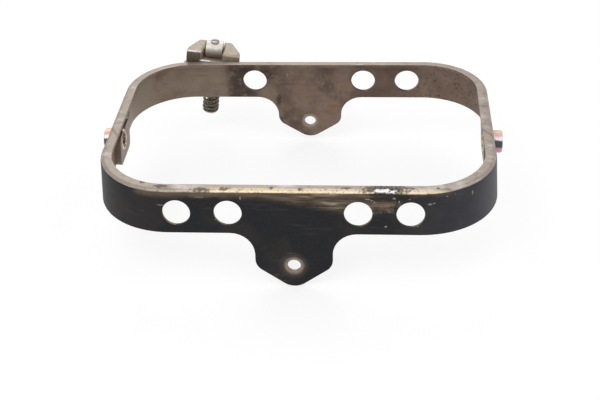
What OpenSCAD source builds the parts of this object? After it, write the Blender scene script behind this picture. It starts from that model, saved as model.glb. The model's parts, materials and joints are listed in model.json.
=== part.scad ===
// Headlight mounting bracket: a hoop of formed steel strip that goes round the lamp.
// The lamp tips about two bushes in the side walls. Two tongues hang from the front
// and the back wall, and a saddle at the back carries the aim screw in its barrel nut.
// All lengths are in millimetres. The origin is the middle of the pivot axis,
// +X is the right-hand bush, +Y the wall with the aim screw, +Z up.

/* [Hoop] */
// Width over the rim, left to right
hoop_w = 201.6; // [170:0.2:240]
// Depth over the rim, front to back
hoop_d = 141; // [120:1:180]
// Height from the bottom edge to the top of the rim
hoop_h = 23.8; // [20:0.2:30]
// Outside radius of the front corners, at the rim
front_corner_r = 39; // [30:0.5:50]
// Outside radius of the back corners, at the rim
back_corner_r = 35; // [30:0.5:50]
// Thickness of the steel strip
strip_t = 1.8; // [1.2:0.1:2.2]
// Width of the rim that is turned inwards
rim_w = 5.8; // [4.5:0.1:8]
// Outside radius of the bend between wall and rim
bend_r = 2.4; // [2.3:0.1:3.5]
// Angle by which the walls spread below the rim
wall_draft = 4; // [1:0.5:8]

/* [Holes in the walls] */
// Diameter of the large holes
large_hole_d = 13.8; // [8:0.1:16]
// Distance of the inner pair of large holes from the middle
inner_hole_x = 31.8; // [28:0.2:34]
// Distance of the outer pair of large holes from the middle
outer_hole_x = 57.2; // [52:0.2:60]
// Distance of the large side hole behind the pivot axis
side_hole_y = 25; // [24:0.5:30]
// Height of the large holes and of the pivot axis above the bottom edge
hole_rise = 11.2; // [10:0.1:13]

/* [Tongues] */
// Width of the front tongue
front_tongue_w = 38.6; // [32:0.2:44]
// Width of the back tongue
back_tongue_w = 37.4; // [32:0.2:44]
// Length of the front tongue below the bottom edge
front_tongue_drop = 30.4; // [28:0.2:38]
// Length of the back tongue below the bottom edge
back_tongue_drop = 27.4; // [26:0.2:36]
// Radius of the hollow corner between the hoop and a tongue
tongue_root_r = 12; // [6:0.2:13]
// Radius of the shoulder where a tongue starts to narrow
shoulder_r = 7; // [4:0.2:9]
// Drop from the bottom edge to the middle of the front shoulder radius
front_shoulder_drop = 15.3; // [13:0.1:17]
// Drop from the bottom edge to the middle of the back shoulder radius
back_shoulder_drop = 13.2; // [13:0.1:16]
// Radius of the tip of a tongue
tip_r = 9; // [7:0.2:10]
// Diameter of the bolt hole in a tongue
bolt_hole_d = 6.6; // [5:0.1:9]
// Drop from the bottom edge to the front bolt hole
front_hole_drop = 18.4; // [15:0.2:19]
// Drop from the bottom edge to the back bolt hole
back_hole_drop = 16.8; // [14:0.2:18]

/* [Pivots] */
// Outside diameter of a pivot bush
bush_d = 12; // [11:0.1:14]
// Bore of a pivot bush
bush_bore_d = 8.2; // [6:0.1:9]
// Length of a pivot bush outside the wall
bush_reach = 5; // [3:0.1:8]
// Chamfer on the outer end of a pivot bush
bush_chamfer = 0.6; // [0.2:0.1:0.9]
// Thickness of the plate that backs the wall at a pivot
plate_t = 3.2; // [2:0.1:4]
// Length of the plate in front of the pivot axis
plate_front = 9.8; // [9:0.2:16]
// Length of the plate behind the pivot axis
plate_back = 14.6; // [10:0.2:16]
// Reach of the plate below the bottom edge of the wall
plate_drop = 0.2; // [0:0.1:3]
// Corner radius of the plate
plate_corner_r = 3; // [1:0.2:5]

/* [Saddle of the aim screw] */
// Distance of the aim screw to the left of the middle
saddle_x = 55.8; // [52:0.2:58]
// Width of the saddle against the wall
saddle_w = 31; // [26:0.5:36]
// Width of the saddle at its far side
saddle_far_w = 19.5; // [18:0.5:24]
// Depth of the saddle behind the wall
saddle_depth = 15.4; // [14:0.2:18]
// Share of the depth over which the saddle keeps its full width
straight_share = 0.3; // [0.1:0.05:0.6]
// Depth of the round groove that the barrel nut lies in
groove_depth = 2; // [0.8:0.1:2.5]
// Extra width of the notch above the groove, on its left against the wall
notch_flare = 2.4; // [1:0.2:4]
// Depth over which the notch takes on its extra width
flare_depth = 6; // [2:0.5:8]
// Height of the saddle's tops above the rim
saddle_rise = 4.8; // [4:0.1:8]
// Height of the saddle from its underside to its tops
saddle_h = 20; // [17:0.5:22]
// Lean of the saddle and the aim screw towards the right
saddle_lean = 8; // [0:0.5:12]

/* [Aim screw] */
// Diameter of the barrel nut
barrel_d = 10.6; // [9:0.1:11]
// Length of the barrel nut
barrel_l = 9.6; // [9:0.1:12]
// Height of the barrel nut's axis above the rim
barrel_rise = 2.6; // [1:0.1:4]
// Distance of the barrel nut's axis behind the wall
barrel_back = 8.2; // [7:0.1:9]
// Diameter of the screw's shank
screw_d = 4.8; // [4:0.1:5]
// Length of the screw above the barrel nut's axis
screw_top = 6.1; // [6:0.1:8]
// Length of the screw below the barrel nut's axis, head left out
screw_down = 41; // [34:0.5:44]
// Diameter of the screw's domed head
head_d = 9.6; // [8:0.1:10]
// Height of the screw's domed head
head_h = 2.4; // [1.6:0.1:3]
// Width of the slot across the screw's upper end
slot_w = 0.9; // [0.6:0.1:1.2]
// Depth of the slot across the screw's upper end
slot_depth = 1.1; // [0.6:0.1:1.5]
// Swing of the aim screw to each side of its rest
swing = 6; // [3:0.5:7]
// Thickness of the spring's wire
wire_d = 1.4; // [1:0.1:1.5]
// Outside diameter of the spring
spring_d = 10; // [8.6:0.1:10.4]
// Rise of one free turn of the spring
spring_pitch = 3; // [2.2:0.1:3.6]

/* [Clearances] */
// Gap between two pieces that are welded together
weld_gap = 0.05; // [0.02:0.01:0.1]
// Radial gap of the barrel nut in its seat and on the screw
running_gap = 0.06; // [0.02:0.01:0.08]
// Gap beside the barrel nut and round the free parts of the screw
side_gap = 0.3; // [0.2:0.05:0.5]

/* [Hidden] */

// Fineness of the large arcs and of the small ones
arc_fn = 96;
small_fn = 48;
// Number of straight steps along the arc of an outline
arc_steps = 8;
// Overlap that lets cuts run past a face and solids of one node join
past = 1;

// The wall leaves the bend where the two are tangent
bend_drop = bend_r * (1 - sin(wall_draft));
bend_inset = bend_r * (1 - cos(wall_draft));
// How far the bottom edge lies outside the rim, all round
spread = (hoop_h - bend_drop) * tan(wall_draft) - bend_inset;
wall_len = (hoop_h - bend_drop) / cos(wall_draft);
// Heights along the sloping wall, from the bottom edge
hole_run = hole_rise / cos(wall_draft);
// Angle about Z that turns the front wall onto each of the four walls
front = 0;
right = 90;
back = 180;
left = 270;

// Length of a side over the rim, and distance of a wall's rim from the middle
function side_len(side) = side == front || side == back ? hoop_w : hoop_d;
function half_span(side) = (side == front || side == back ? hoop_d : hoop_w) / 2;
// Radius of the corner where a wall starts and where it ends, going round from the front
function start_r(side) = side == front || side == right ? front_corner_r : back_corner_r;
function end_r(side) = side == front || side == left ? front_corner_r : back_corner_r;

// Puts children that are drawn flat onto the outer face of a wall: x along the wall,
// y up from the bottom edge, z outwards
module on_wall(side) {
    rotate([0, 0, side])
        translate([0, -half_span(side) - spread, -hole_rise])
            rotate([90 - wall_draft, 0, 0])
                children();
}

// Points along an arc
function arc(centre, r, from, to) =
    [for (i = [0:arc_steps]) centre + r * [cos(from + (to - from) * i / arc_steps),
                                           sin(from + (to - from) * i / arc_steps)]];

// Section of the strip: x inwards from the outer edge of the rim, y up
module strip_section() {
    bend_centre = [bend_r, hoop_h - bend_r];
    bottom = [-spread, 0];
    polygon(concat([bottom],
                   arc(bend_centre, bend_r, 180 - wall_draft, 90),
                   [[rim_w, hoop_h], [rim_w, hoop_h - strip_t]],
                   arc(bend_centre, bend_r - strip_t, 90, 180 - wall_draft),
                   [bottom + strip_t * [cos(wall_draft), -sin(wall_draft)]]));
}

// The strip swept round the hoop: four straight legs and four corners
module strip_ring() {
    for (side = [front, right, back, left])
        rotate([0, 0, side])
            translate([start_r(side) - side_len(side) / 2, -half_span(side), -hole_rise])
                rotate([90, 0, 90])
                    linear_extrude(side_len(side) - start_r(side) - end_r(side))
                        strip_section();
    for (turn = [0:3]) {
        corner_r = turn < 2 ? back_corner_r : front_corner_r;
        translate([(turn == 0 || turn == 3 ? 1 : -1) * (hoop_w / 2 - corner_r),
                   (turn < 2 ? 1 : -1) * (hoop_d / 2 - corner_r), -hole_rise])
            rotate([0, 0, 90 * turn])
                rotate_extrude(angle = 90, $fn = arc_fn)
                    translate([corner_r, 0])
                        mirror([1, 0])
                            strip_section();
    }
}

// Outline of a tongue, hanging from y = 0: the right half, then the same mirrored. The
// edge between shoulder and tip touches both arcs.
module tongue_outline(w, drop, shoulder_drop) {
    shoulder_x = w / 2 - shoulder_r;
    tip_y = tip_r - drop;
    // Slope of that edge, and the direction that points squarely out of it
    edge_slope = atan2(tip_y + shoulder_drop, -shoulder_x);
    edge_out = edge_slope
               + acos((shoulder_r - tip_r) / norm([shoulder_x, tip_y + shoulder_drop]));
    half = concat([[w / 2 + tongue_root_r, past]],
                  arc([w / 2 + tongue_root_r, -tongue_root_r], tongue_root_r, 90, 180),
                  arc([shoulder_x, -shoulder_drop], shoulder_r, 0, edge_out),
                  arc([0, tip_y], tip_r, edge_out, -90));
    polygon(concat(half, [for (i = [len(half) - 2:-1:0]) [-half[i][0], half[i][1]]]));
}

// A tongue in its wall
module tongue(side, w, drop, shoulder_drop) {
    on_wall(side)
        translate([0, 0, -strip_t])
            linear_extrude(strip_t)
                tongue_outline(w, drop, shoulder_drop);
}

// A hole straight through a wall, drawn flat for on_wall
module wall_hole(x, y, d) {
    translate([x, y, -strip_t - past])
        cylinder(d = d, h = strip_t + 2 * past, $fn = arc_fn);
}

// A round bar along the pivot axis, between two distances from the middle
module pivot_bar(from, to, d) {
    translate([from, 0, 0])
        rotate([0, 90, 0])
            cylinder(d = d, h = to - from, $fn = arc_fn);
}

module hoop() {
    color([0.16, 0.155, 0.16])
        difference() {
            union() {
                strip_ring();
                tongue(front, front_tongue_w, front_tongue_drop, front_shoulder_drop);
                tongue(back, back_tongue_w, back_tongue_drop, back_shoulder_drop);
            }
            on_wall(front)
                wall_hole(0, -front_hole_drop, bolt_hole_d);
            on_wall(back)
                wall_hole(0, -back_hole_drop, bolt_hole_d);
            for (x = [-outer_hole_x, -inner_hole_x, inner_hole_x, outer_hole_x])
                on_wall(front)
                    wall_hole(x, hole_run, large_hole_d);
            for (x = [-outer_hole_x, -inner_hole_x, inner_hole_x])
                on_wall(back)
                    wall_hole(x, hole_run, large_hole_d);
            on_wall(left)
                wall_hole(-side_hole_y, hole_run, large_hole_d);
            for (flip = [0, 1])
                mirror([flip, 0, 0])
                    pivot_bar(hoop_w / 2 - rim_w, hoop_w / 2 + spread + past, bush_d + 2 * weld_gap);
        }
}

// The plate lies against the inner face of a side wall, below the rim
plate_top = wall_len - bend_r - strip_t;
// Distance from the middle of the pivot axis to the wall's outer face there, and to
// the inner face of the plate
wall_face_x = hoop_w / 2 + spread - hole_rise * tan(wall_draft);
plate_face_x = wall_face_x - (strip_t + weld_gap + plate_t) / cos(wall_draft);

module rounded_rect(low, high, r) {
    translate(low + [r, 0])
        square(high - low - [2 * r, 0]);
    translate(low + [0, r])
        square(high - low - [0, 2 * r]);
    for (x = [low[0] + r, high[0] - r], y = [low[1] + r, high[1] - r])
        translate([x, y])
            circle(r = r, $fn = small_fn);
}

// Plate of the right-hand pivot, where x along the wall runs towards the back
module pivot_plate() {
    color([0.46, 0.41, 0.36])
        difference() {
            on_wall(right)
                translate([0, 0, -strip_t - weld_gap - plate_t])
                    linear_extrude(plate_t)
                        rounded_rect([-plate_front, -plate_drop], [plate_back, plate_top],
                                     plate_corner_r);
            pivot_bar(plate_face_x - past, wall_face_x, bush_d + 2 * weld_gap);
        }
}

module right_pivot_plate() pivot_plate();

module left_pivot_plate() mirror([1, 0, 0]) pivot_plate();

// Bush of the right-hand pivot, from the inner face of the plate outwards
module pivot_bush() {
    bush_end = wall_face_x + bush_reach;
    color([0.62, 0.5, 0.52])
        difference() {
            union() {
                pivot_bar(plate_face_x, bush_end - bush_chamfer, bush_d);
                translate([bush_end - bush_chamfer, 0, 0])
                    rotate([0, 90, 0])
                        cylinder(d1 = bush_d, d2 = bush_d - 2 * bush_chamfer, h = bush_chamfer,
                                 $fn = arc_fn);
            }
            pivot_bar(plate_face_x - past, bush_end + past, bush_bore_d);
        }
}

module right_pivot_bush() pivot_bush();

module left_pivot_bush() mirror([1, 0, 0]) pivot_bush();

// Puts children drawn round the barrel nut's axis in their place: x towards the left
// end of the hoop, y up along the screw, z away from the wall
barrel_run = (hoop_h + barrel_rise) / cos(wall_draft);
module at_barrel() {
    on_wall(back)
        translate([saddle_x, barrel_run, barrel_back])
            rotate([0, 0, saddle_lean])
                children();
}

seat_r = barrel_d / 2 + running_gap;
notch_w = barrel_l + 2 * side_gap;
tops_y = saddle_rise - barrel_rise;
underside_y = tops_y - saddle_h;
// Distances from the barrel nut's axis to the face on the wall and to the far side
near_z = weld_gap - barrel_back;
far_z = saddle_depth - barrel_back;
shoulder_z = near_z + saddle_depth * straight_share;
// Room for the screw's swing, at the saddle's underside
screw_room = screw_d / 2 + side_gap;
swing_room = -underside_y * tan(swing) + screw_room / cos(swing);

// The block has a round groove across it for the barrel nut, a notch above the groove,
// a passage for the screw and cheeks that narrow away from the wall
module saddle() {
    color([0.42, 0.38, 0.31])
        at_barrel()
            difference() {
                translate([0, tops_y, 0])
                    rotate([90, 0, 0])
                        linear_extrude(saddle_h)
                            polygon([[-saddle_w / 2, near_z], [saddle_w / 2, near_z],
                                     [saddle_w / 2, shoulder_z], [saddle_far_w / 2, far_z],
                                     [-saddle_far_w / 2, far_z], [-saddle_w / 2, shoulder_z]]);
                translate([-notch_w / 2, 0, 0])
                    rotate([0, 90, 0])
                        cylinder(r = seat_r, h = notch_w, $fn = arc_fn);
                translate([0, tops_y + past, 0])
                    rotate([90, 0, 0])
                        linear_extrude(tops_y + past + seat_r - groove_depth)
                            polygon([[-notch_w / 2, near_z - past],
                                     [notch_w / 2 + notch_flare, near_z - past],
                                     [notch_w / 2, near_z + flare_depth],
                                     [notch_w / 2, far_z + past], [-notch_w / 2, far_z + past]]);
                rotate([90, 0, 0])
                    linear_extrude(past - underside_y)
                        polygon([[-screw_room, -swing_room], [screw_room, -swing_room],
                                 [screw_room, swing_room], [-screw_room, swing_room]]);
            }
}

module barrel_nut() {
    color([0.78, 0.77, 0.74])
        at_barrel()
            difference() {
                translate([-barrel_l / 2, 0, 0])
                    rotate([0, 90, 0])
                        cylinder(d = barrel_d, h = barrel_l, $fn = arc_fn);
                translate([0, barrel_d, 0])
                    rotate([90, 0, 0])
                        cylinder(d = screw_d + 2 * running_gap, h = 2 * barrel_d, $fn = arc_fn);
            }
}

// Radius of the ball whose cap makes the domed head
dome_r = (head_d * head_d / 4 + head_h * head_h) / (2 * head_h);
module aim_screw() {
    color([0.55, 0.54, 0.52])
        at_barrel()
            difference() {
                rotate([90, 0, 0]) {
                    translate([0, 0, -screw_top])
                        cylinder(d = screw_d, h = screw_top + screw_down + head_h / 2, $fn = small_fn);
                    intersection() {
                        translate([0, 0, screw_down + head_h - dome_r])
                            sphere(r = dome_r, $fn = arc_fn);
                        translate([0, 0, screw_down])
                            cylinder(d = head_d, h = head_h, $fn = arc_fn);
                    }
                }
                translate([-screw_d, screw_top - slot_depth, -slot_w / 2])
                    cube([2 * screw_d, slot_depth + past, slot_w]);
            }
}

// The spring stands between the saddle's underside and the screw's head. Its end
// turns lie close, and its free turns rise by the pitch.
spring_len = screw_down + underside_y - 2 * weld_gap;
end_turns = 1;
free_turns = (spring_len - wire_d - 2 * end_turns * wire_d) / spring_pitch;
all_turns = free_turns + 2 * end_turns;
coil_r = (spring_d - wire_d) / 2;
wire_sides = 8;
turn_steps = 20;
spring_steps = round(all_turns * turn_steps);
// Height along the spring after a number of turns
function coil_rise(turns) =
    turns < end_turns ? turns * wire_d
    : turns < end_turns + free_turns ? end_turns * wire_d + (turns - end_turns) * spring_pitch
    : end_turns * wire_d + free_turns * spring_pitch + (turns - end_turns - free_turns) * wire_d;
function wire_point(turns, around) =
    [(coil_r + wire_d / 2 * cos(around)) * cos(360 * turns),
     (coil_r + wire_d / 2 * cos(around)) * sin(360 * turns),
     coil_rise(turns) + wire_d / 2 * (1 + sin(around))];

module aim_spring() {
    rings = [for (i = [0:spring_steps], k = [0:wire_sides - 1])
                 wire_point(i * all_turns / spring_steps, k * 360 / wire_sides)];
    sides = [for (i = [0:spring_steps - 1], k = [0:wire_sides - 1])
                 let (next = (k + 1) % wire_sides)
                 [i * wire_sides + k, i * wire_sides + next,
                  (i + 1) * wire_sides + next, (i + 1) * wire_sides + k]];
    first_cap = [[for (k = [wire_sides - 1:-1:0]) k]];
    last_cap = [[for (k = [0:wire_sides - 1]) spring_steps * wire_sides + k]];
    color([0.3, 0.28, 0.25])
        at_barrel()
            translate([0, underside_y - weld_gap, 0])
                rotate([90, 0, 0])
                    polyhedron(points = rings, faces = concat(sides, first_cap, last_cap));
}

hoop();
left_pivot_plate();
right_pivot_plate();
left_pivot_bush();
right_pivot_bush();
saddle();
barrel_nut();
aim_screw();
aim_spring();
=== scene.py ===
"""Looks of a headlight mounting bracket: a worn black hoop of steel strip with two pivot
bushes and a sprung aim screw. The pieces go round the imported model, in metres."""

import json
import math

import bpy
from bpy.props import FloatProperty, FloatVectorProperty, PointerProperty
from mathutils import Matrix, Vector


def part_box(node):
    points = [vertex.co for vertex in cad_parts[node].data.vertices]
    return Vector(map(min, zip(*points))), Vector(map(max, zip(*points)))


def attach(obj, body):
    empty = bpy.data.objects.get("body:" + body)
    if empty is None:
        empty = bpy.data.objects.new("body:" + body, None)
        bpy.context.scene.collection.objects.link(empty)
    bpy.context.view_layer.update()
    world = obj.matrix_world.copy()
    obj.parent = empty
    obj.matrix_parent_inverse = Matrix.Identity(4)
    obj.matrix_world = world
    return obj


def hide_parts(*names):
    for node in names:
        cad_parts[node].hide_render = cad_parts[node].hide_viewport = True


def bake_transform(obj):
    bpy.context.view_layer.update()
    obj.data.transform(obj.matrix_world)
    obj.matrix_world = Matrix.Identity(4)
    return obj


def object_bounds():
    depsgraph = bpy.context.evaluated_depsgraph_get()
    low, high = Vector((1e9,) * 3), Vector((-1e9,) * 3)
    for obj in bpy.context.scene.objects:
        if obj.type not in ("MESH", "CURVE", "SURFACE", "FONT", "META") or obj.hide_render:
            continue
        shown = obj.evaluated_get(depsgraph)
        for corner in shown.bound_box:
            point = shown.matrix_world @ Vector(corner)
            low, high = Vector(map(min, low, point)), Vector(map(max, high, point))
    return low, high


bl_info = {
    "name": "Headlight mounting bracket",
    "version": (1, 0, 0),
    "blender": (4, 5, 0),
    "location": "View3D > Sidebar > Bracket",
    "description": "Dresses the packed headlight mounting bracket",
    "category": "Object",
}

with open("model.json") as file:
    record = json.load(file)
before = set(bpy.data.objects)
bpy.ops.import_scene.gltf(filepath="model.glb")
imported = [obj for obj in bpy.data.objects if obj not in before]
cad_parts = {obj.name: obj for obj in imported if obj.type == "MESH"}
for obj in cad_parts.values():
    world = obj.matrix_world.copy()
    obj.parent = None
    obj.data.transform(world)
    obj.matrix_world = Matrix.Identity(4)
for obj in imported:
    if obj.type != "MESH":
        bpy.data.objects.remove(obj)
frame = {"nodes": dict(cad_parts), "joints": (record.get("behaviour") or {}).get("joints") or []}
CAD_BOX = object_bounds()
MM = 0.001

# In metres: how near points that are one point lie, how thin a sliver is, and how near a
# point on a cut lies to its plane
SAME_POINT = 2e-6
SLIVER = 2e-5
ON_CUT = 1e-7

# Faces that meet at less than this are one flat face
FLAT = math.radians(0.3)
# Faces of a weld's bead that meet at less than this, in degrees, are shaded as one
BEAD_ANGLE = 60


def adjuster_place():
    """Place of the aim screw: x along the barrel nut, y away from the wall, z up the screw."""
    joints = {joint["name"]: joint for joint in frame["joints"]}
    side = Vector(joints["aim_swing"]["axis"]).normalized()
    up = Vector(joints["aim_travel"]["axis"]).normalized()
    away = up.cross(side)
    place = Matrix((side, away, up)).transposed().to_4x4()
    place.translation = Vector(joints["aim_swing"]["pos_m"])
    return place


ADJUSTER = adjuster_place()
HOOP_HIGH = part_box("hoop")[1]


def linear(red, green, blue):
    """A colour as it shows on a screen, 0 to 255, as the linear colour that a shader takes."""
    return tuple((c / 255 / 12.92) if c < 10.3 else ((c / 255 + 0.055) / 1.055) ** 2.4
                 for c in (red, green, blue))


def colour(name, description, red, green, blue):
    """A colour that the panel shows, from a screen's 0 to 255."""
    return FloatVectorProperty(name=name, description=description, subtype="COLOR", size=3,
                               min=0, max=1, default=linear(red, green, blue))


def length(name, description, millimetres):
    """A length that the panel shows."""
    return FloatProperty(name=name, description=description, unit="LENGTH",
                         subtype="DISTANCE", min=0, default=millimetres * MM)


class BracketSizes(bpy.types.PropertyGroup):
    """Sizes of the small forms that finish the pieces"""
    strip_round: length("Strip edge", "Rounding of the strip's cut edges", 0.28)
    plate_round: length("Plate edge", "Rounding of the backing plates' edges", 0.35)
    bush_round: length("Bush edge", "Rounding of the bushes' edges", 0.25)
    saddle_round: length("Saddle edge", "Rounding of the saddle's edges", 1.5)
    barrel_round: length("Barrel edge", "Rounding of the barrel nut's ends", 0.5)
    weld_l: length("Rim weld length", "Length of the weld on the rim", 13)
    weld_w: length("Rim weld width", "Width of the weld on the rim", 3.6)
    weld_h: length("Rim weld height", "Height of the weld on the rim", 1.3)
    seam_r: length("Saddle weld", "Radius of the welds beside the saddle", 1.2)
    screw_r: length("Screw radius", "Outer radius of the aim screw", 2.4)
    thread_pitch: length("Thread pitch", "Rise of one turn of the screw's thread", 0.8)
    thread_depth: length("Thread depth", "Depth of the screw's thread", 0.4)
    slot_w: length("Slot width", "Width of the slot across the screw", 0.9)
    slot_depth: length("Slot depth", "Depth of the slot across the screw", 1.1)
    wire_r: length("Wire radius", "Radius of the spring's wire", 0.8)
    coil_r: length("Coil radius", "Radius of the spring, to the middle of its wire", 4.2)
    coil_rise: length("Coil rise", "Rise of one free turn of the spring", 3)
    screw_top: length("Screw top", "Length of the screw above the barrel nut's axis", 6.1)
    screw_down: length("Screw length", "Length of the screw below the barrel nut's axis", 41)
    head_r: length("Head radius", "Radius of the screw's domed head", 4.8)
    head_h: length("Head height", "Height of the screw's domed head", 2.4)
    saddle_low: length("Saddle depth", "Drop from the barrel nut's axis to the saddle's foot",
                       17.8)
    top_gap: length("Upper gap", "Room above the spring for its swing", 0.27)
    low_gap: length("Lower gap", "Gap between the spring and the screw's head", 0.05)
    end_turn: FloatProperty(name="Spring end", description="Direction of the upper end "
                            "of the wire, from the barrel nut's axis", subtype="ANGLE",
                            default=math.radians(10))


class BracketColours(bpy.types.PropertyGroup):
    """Colours of the finishes"""
    paint: colour("Paint", "Black paint on the outside", 27, 28, 31)
    # Dust in patches, and the painted sheen round the right corner
    dust_and_sheen_paint: colour("Dusty paint", "Paint where it has gone grey", 74, 74, 82)
    scorch: colour("Scorched paint", "Paint browned by heat and wear", 90, 76, 62)
    scorch_light: colour("Worn paint", "Lighter streaks in the browned paint", 160, 144, 122)
    # Also the painted shade in the rim's dents and creases
    grime_and_shade: colour("Grime", "Dark grime on the metal", 56, 48, 44)
    rim: colour("Rim", "Bare, greyish steel of the rim", 154, 142, 131)
    # Yellow of the rubbed front bend of the rim with a painted highlight on it, and the brownish
    # steel inside the bushes
    brass_and_highlight: colour("Rim wear", "Yellow steel where the rim is rubbed", 234, 216, 182)
    steel: colour("Inner steel", "Brown steel on the inside", 126, 106, 93)
    khaki: colour("Light inner steel", "Lighter tint on the inside", 132, 118, 103)
    umber: colour("Dark inner steel", "Darker tint on the inside", 94, 78, 69)
    rust: colour("Rust", "Rust spots", 140, 84, 42)
    # Also the colour of the painted highlights on the rim's weld and on the saddle's edge
    weld: colour("Weld", "Bright metal of the rim's weld", 226, 225, 230)
    # The bushes' plating, laid in bands by height as a painted reflection
    zinc: colour("Bush plating", "Pink plating below on the bushes", 208, 146, 174)
    zinc_orange: colour("Bush plating above", "Orange plating of the bushes", 222, 186, 168)
    zinc_white: colour("Bush plating, pale", "Lilac white of the bushes", 238, 222, 234)
    zinc_green: colour("Bush plating, dark", "Dark green of the bushes", 74, 84, 80)
    bronze: colour("Saddle", "Tan plating of the saddle", 164, 150, 134)
    # A dark painted shade on the saddle's faces that look to the front
    front_face_shade: colour("Saddle's face", "Olive of the saddle's face beside the wall", 84, 78, 62)
    pale: colour("Barrel nut", "Pale plating of the barrel nut", 216, 213, 205)
    screw: colour("Screw", "Dull plating of the aim screw", 172, 168, 160)
    spring: colour("Spring", "Dark wire of the spring", 98, 91, 82)
    ground: colour("Ground", "Floor and backdrop", 255, 255, 255)


def sizes():
    return bpy.context.scene.bracket_sizes


def colours():
    return bpy.context.scene.bracket_colours


# Tools for the meshes

def clear_selection():
    if bpy.context.object and bpy.context.object.mode != "OBJECT":
        bpy.ops.object.mode_set(mode="OBJECT")
    bpy.ops.object.select_all(action="DESELECT")


def take(obj):
    """Makes an object the active one, and the only one selected."""
    clear_selection()
    obj.select_set(True)
    bpy.context.view_layer.objects.active = obj
    return obj


def new_piece(name):
    """Names the primitive that was just added."""
    obj = bpy.context.object
    obj.name = obj.data.name = name
    return take(obj)


def in_edit_mode(*steps):
    """Runs edit-mode steps on the active object, with its whole mesh selected at first."""
    bpy.ops.object.mode_set(mode="EDIT")
    bpy.ops.mesh.select_all(action="SELECT")
    for step in steps:
        step()
    bpy.ops.object.mode_set(mode="OBJECT")


def merge_points(distance=SAME_POINT):
    """An edit-mode step that makes points within a distance one point."""
    return lambda: bpy.ops.mesh.remove_doubles(threshold=distance)


def cut_level(height, clear_above):
    """An edit-mode step that closes the mesh at a height and drops what is beyond it."""
    return lambda: bpy.ops.mesh.bisect(
        plane_co=(0, 0, height), plane_no=(0, 0, 1), use_fill=True, threshold=ON_CUT,
        clear_outer=clear_above, clear_inner=not clear_above)


def turn_outwards():
    bpy.ops.mesh.normals_make_consistent(inside=False)


def apply_modifier(obj, kind, **settings):
    take(obj)
    modifier = obj.modifiers.new(kind.lower(), kind)
    for key, value in settings.items():
        setattr(modifier, key, value)
    bpy.ops.object.modifier_apply(modifier=modifier.name)


def apply_place(obj, place=None):
    """Moves the mesh to where its object is, or on from there by a place."""
    take(obj)
    if place is not None:
        obj.matrix_world = place @ obj.matrix_world
    bpy.ops.object.transform_apply(location=True, rotation=True, scale=True)


def join(parts, name):
    clear_selection()
    for part in parts:
        part.select_set(True)
    bpy.context.view_layer.objects.active = parts[0]
    bpy.ops.object.join()
    return new_piece(name)


def smooth(obj, angle=32):
    """Shades faces that meet at less than an angle in degrees as one."""
    take(obj)
    bpy.ops.object.shade_smooth_by_angle(angle=math.radians(angle))


def round_edges(obj, width, segments, angle):
    """Rounds the edges that are sharper than an angle in degrees."""
    apply_modifier(obj, "BEVEL", width=width, segments=segments, limit_method="ANGLE",
                   angle_limit=math.radians(angle))


def clouds(name, size):
    """A pattern of a scale in metres, to move a surface in and out."""
    texture = bpy.data.textures.new(name, "CLOUDS")
    texture.noise_scale = size
    return texture


def even_shade(obj):
    """Smooths a rounded block, with its flat faces shaded as flat."""
    smooth(obj)
    apply_modifier(obj, "WEIGHTED_NORMAL", keep_sharp=True)


def merged_copy(node, name):
    """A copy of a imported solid, its triangles merged and its flat faces made whole."""
    clear_selection()
    obj = bpy.data.objects.new(name, frame["nodes"][node].data.copy())
    obj.data.name = name
    bpy.context.scene.collection.objects.link(obj)
    obj.data.materials.clear()
    take(obj)
    in_edit_mode(
        bpy.ops.mesh.customdata_custom_splitnormals_clear, merge_points(),
        lambda: bpy.ops.mesh.dissolve_limited(angle_limit=FLAT))
    return obj


def rounded_copy(node, name, width, segments=3, angle=40, slivers=False):
    """A merged copy with its sharp edges rounded and, if asked, its slivers removed."""
    obj = merged_copy(node, name)
    if slivers:
        in_edit_mode(lambda: bpy.ops.mesh.dissolve_degenerate(threshold=SLIVER))
    round_edges(obj, width, segments, angle)
    even_shade(obj)
    return obj


def finish_piece(obj, material, slot, body, *nodes):
    """Gives a piece its material, the body it rides on and the nodes it stands for. Its slot is
    not used.
    """
    obj.data.materials.clear()
    obj.data.materials.append(material)
    if body:
        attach(obj, body)
    if nodes:
        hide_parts(*nodes)


# Tools for the finishes

def plug(tree, value, socket):
    """Links a value that is a socket itself, and sets any other."""
    if isinstance(value, bpy.types.NodeSocket):
        tree.links.new(value, socket)
    else:
        socket.default_value = value


def add_node(tree, kind, inputs=(), **settings):
    node = tree.nodes.new(kind)
    for key, value in settings.items():
        setattr(node, key, value)
    for key, value in dict(inputs).items():
        plug(tree, value, node.inputs[key])
    return node


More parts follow.
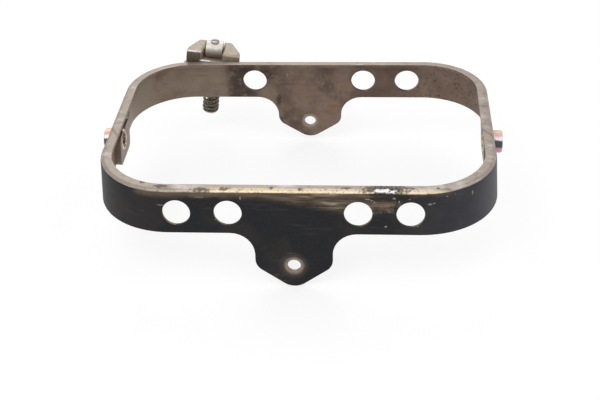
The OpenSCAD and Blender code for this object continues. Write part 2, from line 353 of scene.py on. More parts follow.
class Finish:
    """A material whose patterns are drawn in millimetres on the piece's own place.
    Its masks are numbers, 0 where a colour or a pattern is not and 1 where it is full."""

    def __init__(self, name):
        self.material = bpy.data.materials.new(name)
        self.material.use_nodes = True
        self.tree = self.material.node_tree
        self.shader = self.tree.nodes["Principled BSDF"]
        place = self.node("ShaderNodeTexCoord").outputs["Object"]
        self.place = self.vector("MULTIPLY", place, (1 / MM,) * 3)
        self.normal = self.node("ShaderNodeNewGeometry").outputs["Normal"]
        self.x, self.y, self.z = self.parts(self.place)
        _, self.ny, self.nz = self.parts(self.normal)

    def node(self, kind, inputs=(), **settings):
        return add_node(self.tree, kind, inputs, **settings)

    def parts(self, vector):
        return self.node("ShaderNodeSeparateXYZ", {0: vector}).outputs

    def vector(self, operation, a, b=(0, 0, 0)):
        node = self.node("ShaderNodeVectorMath", {0: a, 1: b}, operation=operation)
        return node.outputs["Value" if operation in ("LENGTH", "DOT_PRODUCT") else "Vector"]

    def math(self, operation, a, b=0.0):
        return self.node("ShaderNodeMath", {0: a, 1: b}, operation=operation).outputs[0]

    def each(self, operation, first, *others):
        """One operation over a row of values."""
        for value in others:
            first = self.math(operation, first, value)
        return first

    def add(self, *values):
        return self.each("ADD", *values)

    def times(self, *values):
        return self.each("MULTIPLY", *values)

    def most(self, *values):
        return self.each("MAXIMUM", *values)

    def absolute(self, value):
        return self.math("ABSOLUTE", value)

    def sway(self, pattern, reach):
        """A pattern counted from its middle, times reach."""
        return self.times(self.math("SUBTRACT", pattern, 0.5), reach)

    def ramp(self, value, low, high):
        """0 at low and 1 at high, with soft ends."""
        return self.node("ShaderNodeMapRange", {0: value, 1: low, 2: high, 3: 0.0, 4: 1.0},
                         interpolation_type="SMOOTHSTEP").outputs[0]

    def band(self, value, low, high, edge):
        """1 between low and high, fading over edge outside them."""
        return self.times(self.ramp(value, low - edge, low), self.ramp(value, high + edge, high))

    def blend(self, mask, a, b):
        """Number a where the mask is 0 and b where it is 1."""
        return self.node("ShaderNodeMapRange", {0: mask, 1: 0.0, 2: 1.0, 3: a, 4: b}).outputs[0]

    def noise(self, size, detail=4, rough=0.55, stretch=(1, 1, 1), shift=0):
        """A pattern whose features are about size millimetres across."""
        place = self.vector("MULTIPLY", self.place, stretch)
        if shift:
            place = self.vector("ADD", place, (shift, -shift, 2 * shift))
        return self.node("ShaderNodeTexNoise", {"Vector": place, "Scale": 1 / size,
                                                "Detail": detail, "Roughness": rough}).outputs[0]

    def specks(self, size, share, shift=0):
        """Small spots that cover about a share of the surface."""
        spots = self.noise(size, 3, 0.5, shift=shift)
        return self.ramp(spots, 0.72 - share, 0.76 - share)

    def mark(self, centre, reach, edge=0.5, ragged=0.6, size=1.5):
        """A ragged spot round a point, with its reach along each axis."""
        offset = self.vector("SUBTRACT", self.place, centre)
        away = self.vector("LENGTH", self.vector("DIVIDE", offset, reach))
        away = self.add(away, self.sway(self.noise(size, 3), 4 * ragged))
        return self.ramp(away, 1 + edge / 2, 1 - edge / 2)

    def marks(self, spots, edge, ragged, size):
        """All spots of a list of centres and reaches."""
        return self.most(*(self.mark(*spot, edge, ragged, size) for spot in spots))

    def mix(self, mask, a, b):
        """Colour a where the mask is 0 and b where it is 1."""
        a, b = (value if isinstance(value, bpy.types.NodeSocket) else (*value, 1)
                for value in (a, b))
        return self.node("ShaderNodeMix", {0: mask, 6: a, 7: b}, data_type="RGBA").outputs[2]

    def coat(self, under, mask, share, over):
        """A colour with a share of another over it where the mask is 1."""
        return self.mix(self.times(mask, share), under, over)

    def put(self, **inputs):
        """Sets or links inputs of the shader, named with _ for a space."""
        for key, value in inputs.items():
            plug(self.tree, value, self.shader.inputs[key.replace("_", " ")])

    def bump(self, height, depth):
        """Raises the surface by height, where 1 is depth millimetres."""
        node = self.node("ShaderNodeBump", {"Height": height, "Strength": 1.0,
                                            "Distance": depth * MM})
        self.put(Normal=node.outputs[0])


# Marks on the hoop, in millimetres: the centre and the reach of each along x, y and z

CHIPS = (
    ((-25.2, -70.6, 8.6), (0.35, 3, 0.9)), ((66.4, -70.8, 5.9), (1.0, 3, 0.5)),
    ((68.2, -70.8, 6.3), (0.6, 3, 0.3)), ((87, -62.5, 7.2), (0.3, 4, 1.2)),
    ((-64.5, -70.9, 4.2), (1.9, 3, 0.25)), ((-60.5, -70.9, 4.6), (1.3, 3, 0.3)),
    ((-45.5, -70.6, 8.9), (2.6, 3, 0.16)), ((36.3, -70.6, 8.5), (1.3, 3, 0.3)),
    ((49, -70.7, 9.0), (0.7, 3, 0.5)), ((51.5, -70.7, 7.2), (0.3, 3, 0.8)),
    ((45.2, -71.4, -6.6), (0.6, 3, 0.5)), ((56.5, -70.5, 8.7), (0.4, 3, 0.3)),
    ((74.6, -70.6, 9.3), (0.6, 3, 0.4)), ((78.2, -70.0, 9.6), (0.5, 3, 0.3)),
    ((-38, -71.2, -3.5), (0.3, 3, 0.3)), ((60.6, -71.3, -6.2), (0.3, 3, 0.3)),
    ((38.4, -70.6, 7.8), (0.8, 3, 0.3)), ((39.6, -70.6, 7.0), (0.3, 3, 0.6)))
# Dents in the rim, darkened by painted shade with dirt
DENTS = (
    ((-64.6, -66.7, 12.6), (3.2, 1.6, 3)), ((-44, -69.1, 12.4), (4, 1.2, 3)),
    ((-33, -68.4, 12.6), (3, 1.2, 3)), ((3.8, -68.3, 12.6), (1.6, 0.8, 3)),
    ((-10, -67.5, 12.6), (1.0, 1.2, 3)), ((26, -67.2, 12.6), (2.2, 0.8, 3)),
    ((45, -68.0, 12.6), (10, 3.4, 3.2)), ((58, -67.2, 12.6), (1.4, 0.7, 3)),
    ((-74, -62.5, 12.6), (1.2, 1.6, 3)), ((70, -66.6, 12.4), (0.7, 0.9, 3)))
NICKS = (((-12.6, 69.5, 3.8), (0.4, 3, 1.3)), ((-9.6, 69.5, 5.3), (0.6, 3, 0.5)))
WELD_TINT = ((43.5, -70.6, 6), (7.5, 6, 4.4))
SOOT = ((46, -70.6, 9.6), (10, 4, 2.4))
SPATTER = ((45.5, -68, 12.6), (10, 4, 4))
# A painted highlight in the middle of the rim's weld
PAINTED_WELD_HIGHLIGHT = ((45.6, -69.4, 12.6), (6.2, 1.0, 1.3))
DARK_RUN = ((-18.2, 70.6, -13.6), (1.5, 4, 3.4))
DARK_PATCH = ((-29, 70, 3), (5, 4, 4))
RUST_SPOT = ((14.5, 70.7, -17.8), (1.9, 4, 1.5))

# Height of the bolt hole in the front and in the back tongue, the sign of y at the other
# tongue, and what is added there to the distance from the hole
BOLT_HOLES = ((-29.6, 1), (-28.0, -1))
FAR_AWAY = 100
# Creases across the sides of the rim, where y + slope x + offset is 0, and the sign of x
CREASES = ((1.62, 172.1, -1), (1.32, -115.9, 1))


class HoopFinish(Finish):
    """The patterns that the outside, the rim and the inside of the hoop share."""

    def __init__(self, name):
        super().__init__(name)
        self.broad, self.middle, self.fine = (
            self.noise(26, 3), self.noise(6, 5, 0.6), self.noise(0.9, 4))
        self.streaks = self.noise(7, 5, 0.65, stretch=(0.35, 1, 3.2), shift=9)
        self.front = self.ramp(self.y, -66, -69)
        self.bolt = self.bolt_distance()

    def bolt_distance(self):
        """Millimetres from the middle of a tongue's hole, with an uneven edge."""
        distances = []
        for hole_z, side in BOLT_HOLES:
            away = self.math("SQRT", self.add(
                self.math("POWER", self.x, 2.0),
                self.math("POWER", self.math("SUBTRACT", self.z, hole_z), 2.0)))
            other_tongue = self.ramp(self.times(self.y, side), -10, 10)
            distances.append(self.add(away, self.times(other_tongue, FAR_AWAY)))
        return self.add(self.each("MINIMUM", *distances), self.sway(self.middle, 2.2))

    def sides(self):
        """Masks of the inside, which looks at the middle, and of the rim, which looks up."""
        outward = self.vector("DOT_PRODUCT", self.normal,
                              self.vector("MULTIPLY", self.place, (1, 1, 0)))
        inside = self.most(self.ramp(outward, -4, -12), self.ramp(self.nz, -0.45, -0.6))
        rim = self.ramp(self.add(self.nz, self.sway(self.middle, 0.3)), 0.42, 0.56)
        return inside, self.times(rim, self.ramp(self.z, 8.5, 9.5))


def outer_paint(f, look):
    """Black paint, greyer towards the right with dust and with a painted sheen round the right
    corner, and browned in streaks under the front rim.
    """
    # Greyer towards the right: dust in patches, and a painted sheen where the wall turns round
    # the right corner
    grey = f.add(f.times(f.ramp(f.x, 40, 105), f.blend(f.broad, 0.1, 0.8)),
                 f.times(f.ramp(f.x, 84, 102), 0.4))
    paint = f.mix(grey, look.paint, look.dust_and_sheen_paint)
    paint = f.coat(paint, f.ramp(f.fine, 0.5, 0.75), 0.16, look.dust_and_sheen_paint)
    paint = f.coat(paint, f.ramp(f.streaks, 0.55, 0.75), 0.22, look.dust_and_sheen_paint)
    paint = f.coat(paint, f.ramp(f.broad, 0.46, 0.64), 0.1, look.scorch)

    # The height in the wall, uneven, and taken as less past the weld, where less is worn
    height = f.add(f.z, f.sway(f.middle, 4), f.times(f.ramp(f.x, 38, 52), -1.8))
    thin = f.times(f.ramp(height, 7.4, 10.8), 0.8)
    slanted = f.add(height, f.times(f.ramp(f.x, -22, 32), 7))
    wide = f.times(f.ramp(slanted, 5.5, 13), f.band(f.x, -20, 34, 22))
    worn = f.most(thin, f.times(wide, f.blend(f.ramp(f.streaks, 0.34, 0.66), 0.35, 1)))
    heat = f.times(f.mark(*WELD_TINT, 0.9, 0.9, 3), 0.75)
    light = f.times(f.ramp(f.streaks, 0.42, 0.72), f.blend(f.band(f.x, 10, 38, 16), 0.25, 1))
    burnt = f.mix(light, look.scorch, look.scorch_light)
    paint = f.mix(f.times(f.front, f.most(worn, heat)), paint, burnt)
    return f.coat(paint, f.mark(*SOOT, 0.8, 0.5, 3), 0.8, look.paint)


def bare_metal(f):
    """Masks of the chips and scratches in the paint, and of the rings round the bolt holes."""
    scratch = f.ramp(f.noise(1.0, 2, 0.4, stretch=(0.05, 0.05, 1), shift=7), 0.76, 0.8)
    chips = f.most(f.times(f.marks(CHIPS, 0.5, 0.6, 0.7), 0.7), f.times(scratch, 0.3))
    strength = f.blend(f.ramp(f.middle, 0.35, 0.65), 0.45, 0.85)
    return chips, f.times(f.ramp(f.bolt, 5.7, 3.9), strength)


def rim_metal(f, look):
    """Greyish steel, yellow where the front bend is rubbed and a painted highlight lies on it,
    with dark specks, and painted shade with dirt in dents and creases.
    """
    # The front bend: rubbed steel with a painted highlight where it catches the light
    rub_and_highlight = f.times(f.front, f.ramp(f.y, -66.8, -69.2), f.band(f.x, -34, 74, 22))
    metal = f.coat(look.rim, rub_and_highlight, f.blend(f.middle, 0.3, 1.2), look.brass_and_highlight)
    metal = f.coat(metal, f.ramp(f.middle, 0.5, 0.72), 0.5, look.umber)
    metal = f.coat(metal, f.ramp(f.streaks, 0.52, 0.72), 0.35, look.weld)
    metal = f.coat(metal, f.specks(1.3, 0.12, 5), f.blend(f.front, 0.15, 0.5), look.umber)
    # Dents and creases darkened: painted shade with dirt
    grime_and_shade = f.marks(DENTS, 0.9, 0.8, 1.4)
    for slope, offset, side in CREASES:
        line = f.absolute(f.add(f.y, f.add(f.times(f.x, slope), offset)))
        # Painted shade along the creases
        crease_shade = f.times(f.ramp(line, 2.4, 0.4), f.ramp(f.times(f.x, side), 80, 88),
                         f.ramp(f.absolute(f.y), 30, 26), 0.5)
        grime_and_shade = f.most(grime_and_shade, crease_shade)
    metal = f.coat(metal, grime_and_shade, 0.75, look.grime_and_shade)
    spatter = f.times(f.mark(*SPATTER, 0.5, 0.4, 2),
                      f.ramp(f.noise(1.1, 4, 0.65, shift=2), 0.46, 0.56))
    return f.coat(metal, spatter, 0.75, look.paint)


def inner_spots(f):
    """A mask of small dark spots, denser towards the right."""
    right = f.times(f.specks(1.7, 0.14, 3), f.ramp(f.x, 45, 70), 0.5)
    return f.most(right, f.times(f.specks(1.2, 0.08, 11), 0.3))


def inner_steel(f, look, spots):
    """Brown steel, tinted by heat, with a little rust."""
    back, across = f.ramp(f.y, 60, 66), f.add(f.x, f.sway(f.middle, 6))
    inner = f.mix(f.ramp(f.broad, 0.38, 0.62), look.steel, look.umber)
    inner = f.coat(inner, f.times(back, f.band(across, -47, -33, 6)), 0.7, look.grime_and_shade)
    inner = f.coat(inner, f.ramp(f.middle, 0.46, 0.68), 0.55, look.khaki)
    inner = f.coat(inner, f.times(back, f.ramp(across, -46, -50)), 0.6, look.khaki)
    inner = f.coat(inner, f.times(back, f.band(across, 42, 58, 12)), 0.5, look.umber)
    inner = f.coat(inner, f.ramp(across, 66, 82), 0.6, look.steel)
    inner = f.coat(inner, f.ramp(f.streaks, 0.52, 0.7), 0.35, look.umber)
    inner = f.coat(inner, f.ramp(f.noise(8, 5, 0.65, shift=5), 0.54, 0.7), 0.35, look.umber)
    inner = f.mix(f.ramp(f.x, -86, -94), inner, look.khaki)
    inner = f.coat(inner, f.ramp(f.bolt, 5.6, 4.0), 0.75, look.rim)
    stain = f.most(f.mark(*DARK_RUN, 0.9, 0.8, 1.2), f.mark(*DARK_PATCH, 1.4, 1.6, 2))
    inner = f.mix(f.most(spots, f.times(stain, 0.75)), inner, look.grime_and_shade)
    inner = f.coat(inner, f.marks(NICKS, 0.6, 0.3, 1), 0.5, look.rim)
    return f.coat(inner, f.mark(*RUST_SPOT, 1.0, 0.9), 0.6, look.rust)


def hoop_finish():
    """Black paint outside, rubbed steel on the rim and brown steel inside."""
    look, f = colours(), HoopFinish("worn_black_paint")
    inside, rim = f.sides()
    (chips, rings), spots = bare_metal(f), inner_spots(f)
    paint = f.coat(outer_paint(f, look), f.ramp(f.bolt, 8.4, 5.0), 0.45, look.scorch)
    paint = f.mix(f.most(chips, rings), paint, look.rim)
    surface = f.mix(inside, paint, inner_steel(f, look, spots))
    surface = f.mix(rim, surface, rim_metal(f, look))
    bare = f.most(rim, f.times(inside, 0.6), chips, rings)
    rough = f.add(f.blend(bare, 0.5, 0.42), f.sway(f.fine, 0.25), f.sway(f.broad, 0.2))
    f.put(Base_Color=surface, Roughness=rough, Metallic=f.times(bare, 0.6),
          Specular_IOR_Level=0.16)
    pits = f.most(chips, f.times(spots, inside))
    f.bump(f.add(f.times(f.fine, 0.6), f.times(f.middle, 0.8), f.times(pits, -0.5)), 0.07)
    return f.material


def weld_finish():
    """Rippled weld metal, dark at its edges, with a painted highlight in its middle."""
    look, f = colours(), Finish("weld_with_painted_highlight")
    patches, ripples = f.noise(2.4, 4), f.noise(0.8, 3, stretch=(1.6, 0.7, 0.7))
    # Painted highlight: a patchy light spot of the weld's colour in its middle
    weld_highlight = f.times(f.mark(*PAINTED_WELD_HIGHLIGHT, 0.7, 0.5, 1.5), f.ramp(patches, 0.66, 0.48))
    dull = f.mix(f.ramp(ripples, 0.4, 0.6), look.grime_and_shade, look.umber)
    f.put(Base_Color=f.mix(weld_highlight, dull, look.weld), Metallic=0.85,
          Roughness=f.blend(patches, 0.18, 0.5))
    f.bump(f.add(ripples, patches), 0.3)
    return f.material


def plated_finish(name, base, tint, dirt, rough, metallic=0.8, size=5, share=0.6, depth=0.03):
    """Plating with a share of a second tint in patches, and dirt in specks."""
    f = Finish(name)
    patches, fine = f.noise(size, 4), f.noise(0.5, 4, shift=4)
    shade = f.coat(base, f.ramp(patches, 0.42, 0.66), share, tint)
    shade = f.coat(shade, f.specks(0.9, 0.13, 2), 0.5, dirt)
    shade = f.coat(shade, f.ramp(fine, 0.5, 0.8), 0.3, dirt)
    uneven = f.times(f.math("SUBTRACT", f.add(patches, fine), 1.0), 0.3)
    f.put(Base_Color=shade, Metallic=metallic, Roughness=f.add(uneven, rough))
    f.bump(f.add(fine, patches), depth)
    return f.material


def bush_finish():
    """Iridescent plating, its colours painted in bands by height like a reflection: orange above
    through white and green to pink below, and brown steel where the bush is inside the wall."""
    look, f = colours(), Finish("iridescent_plating")
    height = f.add(f.z, f.sway(f.noise(4, 3), 2.4))
    # Painted reflection: the plating's colour bands follow the height round the bush
    shade = f.mix(f.ramp(height, 4.0, 5.4), look.zinc_white, look.zinc_orange)
    shade = f.mix(f.ramp(height, 3.6, 2.8), shade, look.zinc_green)
    shade = f.mix(f.ramp(height, 0.2, -0.8), shade, look.zinc)
    shade = f.coat(shade, f.specks(0.8, 0.14, 2), 0.35, look.umber)
    brown = f.mix(f.ramp(f.noise(2, 4), 0.4, 0.62), look.umber, look.brass_and_highlight)
    within, fine = f.ramp(f.absolute(f.x), 98.6, 97.6), f.noise(0.4, 4)
    f.put(Base_Color=f.mix(within, shade, brown), Metallic=0.6,
          Roughness=f.blend(fine, 0.22, 0.5))
    f.bump(fine, 0.02)
    return f.material


def saddle_finish():
    """Aged plating: pinkish tan on top, with a dark painted shade on the face beside the wall,
    and a painted highlight along the left lobe's rounded edge.
    """
    look, f = colours(), Finish("brown_plating")
    patches, fine = f.noise(5, 5, 0.6), f.noise(0.6, 4, shift=4)
    left = f.ramp(f.x, -57, -59)
    # Painted shade: the faces that look to the front rather than up are darkened, fully on the
    # left lobe
    face = f.times(f.ramp(f.ny, -0.75, -0.9), f.ramp(f.nz, 0.5, 0.3), f.blend(left, 0.25, 1))
    # Painted highlight: the rounded edge between the left lobe's top and its front
    edge = f.times(f.ramp(f.ny, -0.2, -0.35), f.ramp(f.ny, -0.9, -0.8),
                   f.ramp(f.nz, 0.35, 0.5), left)
    shade = f.coat(look.bronze, f.ramp(patches, 0.42, 0.66), 0.5, look.rim)
    shade = f.coat(shade, face, 0.85, look.front_face_shade)
    # The painted highlight, in the weld's colour
    shade = f.coat(shade, edge, f.blend(patches, 0.4, 1.1), look.weld)
    shade = f.coat(shade, f.ramp(f.z, 10, -2), 0.5, look.umber)
    shade = f.coat(shade, f.specks(1.0, 0.13, 2), 0.5, look.umber)
    f.put(Base_Color=shade, Metallic=0.5, Roughness=f.blend(patches, 0.3, 0.6))
    f.bump(f.add(fine, patches), 0.08)
    return f.material


def barrel_finish():
    """Pale plating above, with painted shade that greys and browns it lower down."""
    look, f = colours(), Finish("pale_plating")
    patches, fine = f.noise(3, 4), f.noise(0.5, 4, shift=4)
    height = f.add(f.z, f.sway(patches, 3))
    # Painted shade down the round of the barrel: pale on top, greyer and then browner below
    shade = f.mix(f.ramp(height, 20, 16.5), look.pale, look.rim)
    shade = f.coat(shade, f.ramp(height, 17.5, 13.5), 0.75, look.umber)
    shade = f.coat(shade, f.specks(0.8, 0.12, 2), 0.3, look.umber)
    f.put(Base_Color=shade, Metallic=0.35, Roughness=f.blend(patches, 0.3, 0.55))
    f.bump(f.add(fine, patches), 0.05)
    return f.material


def seen_rays(tree, share):
    """A share for the rays that see the ground or the sky, and 0 for those that light."""
    path = add_node(tree, "ShaderNodeLightPath").outputs
    seen = path["Is Camera Ray"]
    for ray in ("Is Glossy Ray", "Is Transmission Ray"):
        seen = add_node(tree, "ShaderNodeMath", {0: seen, 1: path[ray]},
                        operation="MAXIMUM").outputs[0]
    return add_node(tree, "ShaderNodeMath", {0: seen, 1: share},
                    operation="MULTIPLY").outputs[0]


def seen_or_lit(tree, share, lit, seen):
    """One shader for the light and, by a share, another for what is seen."""
    return add_node(tree, "ShaderNodeMixShader", {
        0: seen_rays(tree, share), 1: lit.outputs[0], 2: seen.outputs[0]}).outputs[0]


# The pieces

class BRACKET_OT_hoop(bpy.types.Operator):
    """The formed strip with its rim, holes and tongues"""
    bl_idname = "bracket.hoop"
    bl_label = "Hoop"

    def execute(self, context):
        hoop = rounded_copy("hoop", "hoop_strip", sizes().strip_round, segments=2, angle=50,
                            slivers=True)
        finish_piece(hoop, hoop_finish(), "black_paint", "frame", "hoop")
        return {"FINISHED"}


class BRACKET_OT_rim_weld(bpy.types.Operator):
    """The weld that closes the strip, on the front of the rim"""
    bl_idname = "bracket.rim_weld"
    bl_label = "Rim weld"

    # In the world: the weld lies on the slope of the rim's bend, sunk a little into its top
    PLACE_X, PLACE_Y, SUNK = 0.0454, -0.0690, 0.0003
    SLOPE, TURN = math.radians(30), math.radians(1)

    def execute(self, context):
        size = sizes()
        clear_selection()
        bpy.ops.mesh.primitive_uv_sphere_add(segments=64, ring_count=32, radius=0.5)
        weld = new_piece("rim_weld")
        weld.scale = (size.weld_l, size.weld_w, size.weld_h)
        weld.rotation_euler = (self.SLOPE, 0, self.TURN)
        weld.location = (self.PLACE_X, self.PLACE_Y, HOOP_HIGH.z - self.SUNK)
        apply_place(weld)
        apply_modifier(weld, "DISPLACE", texture=clouds("weld_ripple", 0.0022),
                       strength=0.7 * MM, mid_level=0.55)
        smooth(weld, BEAD_ANGLE)
        finish_piece(weld, weld_finish(), "bare_steel", "frame")
        return {"FINISHED"}


class BRACKET_OT_pivots(bpy.types.Operator):
    """The backing plates and the bushes of both pivots"""
    bl_idname = "bracket.pivots"
    bl_label = "Pivots"

    def execute(self, context):
        look, size = colours(), sizes()
        plate_metal = plated_finish("aged_plate_steel", look.steel, look.khaki, look.umber,
                                    rough=0.45, metallic=0.6, size=7)
        plating = bush_finish()
        for side in ("left", "right"):
            plate = rounded_copy(f"{side}_pivot_plate", f"{side}_backing_plate",
                                 size.plate_round)
            finish_piece(plate, plate_metal, "bare_steel", "frame", f"{side}_pivot_plate")
            bush = rounded_copy(f"{side}_pivot_bush", f"{side}_bush", size.bush_round)
            finish_piece(bush, plating, "zinc_plate", "frame", f"{side}_pivot_bush")
        return {"FINISHED"}


class BRACKET_OT_saddle(bpy.types.Operator):
    """The saddle of the aim screw and the welds that hold it"""
    bl_idname = "bracket.saddle"
    bl_label = "Saddle"

    # In millimetres from the barrel nut's axis: where a weld runs up each side of the block
    SEAM_X, SEAM_Y, SEAM_Z, SEAM_L = 15.5, -8.1, -11.2, 11.6
    # Edges at the wall lie beyond this y, and at the block's sides and foot beyond these
    WALL_Y, SIDE_X, FOOT_Z = -8, 15, -17
    # The seat's round is made of edges shorter than this, and the passage lies within this
    SEAT_EDGE, PASSAGE_X, PASSAGE_Y = 3.5, 3, 5

    def execute(self, context):
        size = sizes()
        bronze = saddle_finish()
        block = merged_copy("saddle", "saddle_block")
        self.weigh_edges(block)
        apply_modifier(block, "BEVEL", width=size.saddle_round, segments=4,
                       limit_method="WEIGHT", use_clamp_overlap=False)
        in_edit_mode(merge_points())
        even_shade(block)
        finish_piece(block, bronze, "bronzed_steel", "frame", "saddle")
        seam_ripple = clouds("seam_ripple", 0.0018)
        seams = [self.seam(side, size.seam_r, seam_ripple) for side in (-1, 1)]
        welds = join(seams, "saddle_welds")
        finish_piece(welds, bronze, "bronzed_steel", "frame")
        return {"FINISHED"}

    def seam(self, side, radius, ripple):
        """A rough bead of weld, half sunk between the block's side and the wall."""
        clear_selection()
        bpy.ops.mesh.primitive_cylinder_add(vertices=16, radius=radius,
                                            depth=self.SEAM_L * MM)
        seam = new_piece("seam")
        seam.location = (side * self.SEAM_X * MM, self.SEAM_Y * MM, self.SEAM_Z * MM)
        in_edit_mode(lambda: bpy.ops.mesh.subdivide(number_cuts=2))
        apply_modifier(seam, "REMESH", mode="VOXEL", voxel_size=0.3 * MM)
        apply_place(seam, ADJUSTER)
        apply_modifier(seam, "DISPLACE", texture=ripple, strength=0.8 * MM, mid_level=0.5)
        smooth(seam, BEAD_ANGLE)
        return seam

    def weigh_edges(self, block):
        """Marks the outer edges for rounding, without the seat's, the passage's and those
        that are welded to the wall or hidden against it."""
        mesh, inverse = block.data, ADJUSTER.inverted()
        points = [inverse @ vertex.co / MM for vertex in mesh.vertices]
        edges = [tuple(edge.vertices) for edge in mesh.edges]
        spans = [(points[a] - points[b]).length for a, b in edges]
        shortest = [min(span for edge, span in zip(edges, spans) if i in edge)
                    for i in range(len(points))]
        weights = mesh.attributes.new("bevel_weight_edge", "FLOAT", "EDGE")
        for edge, weight in zip(edges, weights.data):
            ends = [points[i] for i in edge]
            at_wall = all(end.y < self.WALL_Y for end in ends)
            welded = at_wall and all(abs(end.x) > self.SIDE_X for end in ends)
            hidden = at_wall and all(end.z < self.FOOT_Z for end in ends)
            seat = min(shortest[i] for i in edge) < self.SEAT_EDGE
            passage = all(abs(end.x) < self.PASSAGE_X and abs(end.y) < self.PASSAGE_Y
                          for end in ends)
            weight.value = 0.0 if welded or hidden or seat or passage else 1.0


class BRACKET_OT_barrel_nut(bpy.types.Operator):
    """The barrel nut that lies in the saddle"""
    bl_idname = "bracket.barrel_nut"
    bl_label = "Barrel nut"

    def execute(self, context):
        nut = rounded_copy("barrel_nut", "barrel", sizes().barrel_round)
        finish_piece(nut, barrel_finish(), "pale_plate", "barrel", "barrel_nut")
        return {"FINISHED"}


class BRACKET_OT_aim_screw(bpy.types.Operator):
    """The threaded aim screw with its slotted end and domed head"""
    bl_idname = "bracket.aim_screw"
    bl_label = "Aim screw"

    # The plain end above the thread and its chamfer, the rounding of the head's seat, and how
    # far the thread goes on inside the head
    TIP_L, CHAMFER, SEAT_ROUND, INTO_HEAD = 0.9 * MM, 0.35 * MM, 0.2 * MM, 0.2 * MM
    # The least angle of an edge that is rounded, in degrees, and the steps of a thread's turn
    CORNER, THREAD_STEPS = 60, 28
    # The thread's section: whether a point is on the crest, and its share of the pitch
    SECTION = ((False, 0.0), (False, 0.12), (True, 0.5), (True, 0.62), (False, 1.0))

    def execute(self, context):
        look, size = colours(), sizes()
        top, head_top = size.screw_top, -size.screw_down
        parts = [self.thread(size, head_top - self.INTO_HEAD, top - self.TIP_L),
                 self.tip(size, top), self.head(size, head_top)]
        screw = join(parts, "aim_screw_threaded")
        apply_place(screw, ADJUSTER)
        smooth(screw, 35)
        dull = plated_finish("dull_plating", look.screw, look.rim, look.umber,
                             rough=0.34, size=3, share=0.5)
        finish_piece(screw, dull, "screw_steel", "screw", "aim_screw")
        return {"FINISHED"}

    def thread(self, size, low, high):
        """A thread turned from a section one pitch high, cut level at both ends."""
        core, pitch = size.screw_r - size.thread_depth, size.thread_pitch
        clear_selection()
        mesh = bpy.data.meshes.new("thread")
        mesh.from_pydata([(size.screw_r if crest else core, 0, low - pitch + share * pitch)
                          for crest, share in self.SECTION],
                         [(i, i + 1) for i in range(len(self.SECTION) - 1)], [])
        obj = bpy.data.objects.new("thread", mesh)
        bpy.context.scene.collection.objects.link(obj)
        turns = math.ceil((high - low) / pitch) + 2
        apply_modifier(obj, "SCREW", angle=2 * math.pi, screw_offset=pitch, iterations=turns,
                       steps=self.THREAD_STEPS, render_steps=self.THREAD_STEPS,
                       use_merge_vertices=True, merge_threshold=1e-6, use_smooth_shade=True)
        in_edit_mode(merge_points())
        in_edit_mode(cut_level(low, clear_above=False))
        in_edit_mode(cut_level(high, clear_above=True))
        in_edit_mode(turn_outwards)
        return obj

    def tip(self, size, top):
        """The plain end with its chamfer and slot."""
        depth = self.TIP_L + size.slot_depth
        clear_selection()
        bpy.ops.mesh.primitive_cylinder_add(vertices=48, radius=size.screw_r, depth=depth)
        tip = new_piece("tip")
        tip.location.z = top - depth / 2
        apply_place(tip)
        round_edges(tip, self.CHAMFER, 2, self.CORNER)
        clear_selection()
        bpy.ops.mesh.primitive_cube_add(size=1)
        cutter = new_piece("slot_cutter")
        cutter.scale = (3 * size.screw_r, size.slot_w, 2 * size.slot_depth)
        cutter.location.z = top
        apply_place(cutter)
        apply_modifier(tip, "BOOLEAN", object=cutter, operation="DIFFERENCE", solver="EXACT")
        bpy.data.objects.remove(cutter)
        return tip

    def head(self, size, head_top):
        """A dome that hangs from a flat seat."""
        clear_selection()
        bpy.ops.mesh.primitive_uv_sphere_add(segments=48, ring_count=24, radius=1)
        head = new_piece("head")
        head.scale = (size.head_r, size.head_r, size.head_h)
        head.location.z = head_top
        apply_place(head)
        in_edit_mode(cut_level(head_top, clear_above=True))
        round_edges(head, self.SEAT_ROUND, 2, self.CORNER)
        return head


class BRACKET_OT_aim_spring(bpy.types.Operator):
    """The spring between the saddle and the screw's head"""
    bl_idname = "bracket.aim_spring"
    bl_label = "Aim spring"

    END_TURNS = 1.0
    STEPS_A_TURN, LEAST_STEPS = 32, 8
    # How near the ends of two pieces of wire lie where they join, in metres
    JOIN_GAP = 2e-5

    def execute(self, context):
        look, size = colours(), sizes()
        top, low = -size.saddle_low - size.top_gap, -size.screw_down + size.low_gap
        wire, pitch = 2 * size.wire_r, size.coil_rise
        free_turns = (top - low - wire - 2 * self.END_TURNS * wire) / pitch
        ends = (self.END_TURNS, wire)
        parts, height = [], low + size.wire_r
        turned = size.end_turn / (2 * math.pi) - 2 * self.END_TURNS - free_turns
        for turns, rise in (ends, (free_turns, pitch), ends):
            parts.append(self.coil(size, height, turned, turns, rise))
            height += turns * rise
            turned += turns
        spring = join(parts, "coil_spring")
        in_edit_mode(
            merge_points(self.JOIN_GAP),
            lambda: bpy.ops.mesh.select_all(action="DESELECT"),
            bpy.ops.mesh.select_non_manifold, bpy.ops.mesh.edge_face_add,
            lambda: bpy.ops.mesh.select_all(action="SELECT"), turn_outwards)
        apply_place(spring, ADJUSTER)
        smooth(spring, 50)
        dark = plated_finish("dark_wire", look.spring, look.steel, look.paint,
                             rough=0.4, size=2.5, share=0.7, depth=0.02)
        finish_piece(spring, dark, "spring_steel", None, "aim_spring")
        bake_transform(spring)
        return {"FINISHED"}

    def coil(self, size, height, turned, turns, rise):
        """Some turns of wire, turned up from a round section."""
        clear_selection()
        bpy.ops.mesh.primitive_circle_add(vertices=12, radius=size.wire_r,
                                          rotation=(math.radians(90), 0, 0))
        obj = new_piece("coil")
        obj.location = (size.coil_r, 0, height)
        apply_place(obj)
        steps = max(self.LEAST_STEPS, round(self.STEPS_A_TURN * turns))
        apply_modifier(obj, "SCREW", angle=2 * math.pi * turns, screw_offset=turns * rise,
                       iterations=1, steps=steps, render_steps=steps,
                       use_merge_vertices=False)
        obj.rotation_euler.z = 2 * math.pi * turned
        apply_place(obj)
        return obj


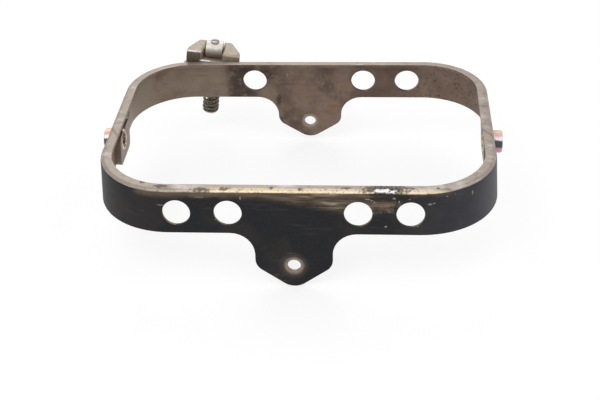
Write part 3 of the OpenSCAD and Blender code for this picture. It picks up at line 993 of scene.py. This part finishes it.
class BRACKET_OT_stage(bpy.types.Operator):
    """Floor, soft light and the camera"""
    bl_idname = "bracket.stage"
    bl_label = "Stage"

    FLOOR_SIZE, BELOW = 8, 0.0002
    # Name, place and power of each lamp, which looks at the middle of the part
    LAMPS = (("key_light", (-0.35, -0.75, 1.1), 4.5), ("fill_light", (0.9, -0.3, 0.8), 1.6),
             ("back_light", (-0.2, 1.0, 0.9), 3))
    LAMP_SIZE, SKY_LIGHT, SKY_SEEN, GROUND_SEEN = 0.9, 0.75, 1.0, 0.72
    # Where the photograph was taken from: degrees, and metres from the point looked at
    AZIMUTH, ELEVATION, ROLL = 4.72, 33.1, -2.04
    DISTANCE, TARGET = 0.639, (-0.002, 0, -0.0384)
    SENSOR, LENS = 36, 69

    def execute(self, context):
        scene = context.scene
        clear_selection()
        bpy.ops.mesh.primitive_plane_add(size=self.FLOOR_SIZE,
                                         location=(0, 0, CAD_BOX[0].z - self.BELOW))
        floor = new_piece("floor")
        floor.data.materials.append(self.ground_finish())
        self.world(scene)
        for name, place, power in self.LAMPS:
            lamp = bpy.data.lights.new(name, "AREA")
            lamp.shape, lamp.size, lamp.energy = "DISK", self.LAMP_SIZE, power
            obj = bpy.data.objects.new(name, lamp)
            scene.collection.objects.link(obj)
            obj.location = place
            obj.rotation_euler = (-Vector(place)).to_track_quat("-Z", "Y").to_euler()
        self.camera(scene)
        scene.view_settings.view_transform = "Standard"
        return {"FINISHED"}

    def ground_finish(self):
        """White to the camera and in reflections, and plain for the light, with its shadow."""
        material = bpy.data.materials.new("white_ground")
        material.use_nodes = True
        tree, white = material.node_tree, (*colours().ground, 1)
        shader = tree.nodes["Principled BSDF"]
        plug(tree, white, shader.inputs["Base Color"])
        plug(tree, 0.9, shader.inputs["Roughness"])
        glow = add_node(tree, "ShaderNodeEmission", {"Color": white})
        plug(tree, seen_or_lit(tree, self.GROUND_SEEN, shader, glow),
             tree.nodes["Material Output"].inputs[0])
        return material

    def world(self, scene):
        """Soft white light, and a brighter white where the sky is seen."""
        world = bpy.data.worlds.new("soft_white")
        scene.world = world
        world.use_nodes = True
        tree = world.node_tree
        tree.nodes.clear()
        light, sight = (
            add_node(tree, "ShaderNodeBackground", {"Color": (1, 1, 1, 1), "Strength": strength})
            for strength in (self.SKY_LIGHT, self.SKY_SEEN))
        add_node(tree, "ShaderNodeOutputWorld", {0: seen_or_lit(tree, 1.0, light, sight)})

    def camera(self, scene):
        azimuth, elevation, roll = (math.radians(a)
                                    for a in (self.AZIMUTH, self.ELEVATION, self.ROLL))
        turn = (Matrix.Rotation(azimuth, 4, "Z")
                @ Matrix.Rotation(math.pi / 2 - elevation, 4, "X"))
        place = Vector(self.TARGET) + self.DISTANCE * (turn @ Vector((0, 0, 1)))
        data = bpy.data.cameras.new("camera")
        data.sensor_width, data.lens = self.SENSOR, self.LENS
        data.clip_start, data.clip_end = 0.01, 50
        camera = bpy.data.objects.new("camera", data)
        scene.collection.objects.link(camera)
        camera.matrix_world = (Matrix.Translation(place) @ turn
                               @ Matrix.Rotation(roll, 4, "Z"))
        scene.camera = camera


PIECES = (BRACKET_OT_hoop, BRACKET_OT_rim_weld, BRACKET_OT_pivots, BRACKET_OT_saddle,
          BRACKET_OT_barrel_nut, BRACKET_OT_aim_screw, BRACKET_OT_aim_spring,
          BRACKET_OT_stage)


class BRACKET_PT_panel(bpy.types.Panel):
    """Lists the pieces of the bracket"""
    bl_idname = "BRACKET_PT_panel"
    bl_label = "Headlight bracket"
    bl_space_type = "VIEW_3D"
    bl_region_type = "UI"
    bl_category = "Bracket"

    def draw(self, context):
        for piece in PIECES:
            self.layout.operator(piece.bl_idname)
        for group in (context.scene.bracket_sizes, context.scene.bracket_colours):
            box = self.layout.box()
            for name in group.__annotations__:
                box.prop(group, name)


CLASSES = (BracketSizes, BracketColours, *PIECES, BRACKET_PT_panel)


def register():
    for cls in CLASSES:
        bpy.utils.register_class(cls)
    bpy.types.Scene.bracket_sizes = PointerProperty(type=BracketSizes)
    bpy.types.Scene.bracket_colours = PointerProperty(type=BracketColours)


def unregister():
    del bpy.types.Scene.bracket_colours
    del bpy.types.Scene.bracket_sizes
    for cls in reversed(CLASSES):
        bpy.utils.unregister_class(cls)


def main():
    register()
    for piece in PIECES:
        group, name = piece.bl_idname.split(".")
        getattr(getattr(bpy.ops, group), name)()


if __name__ == "__main__":
    main()
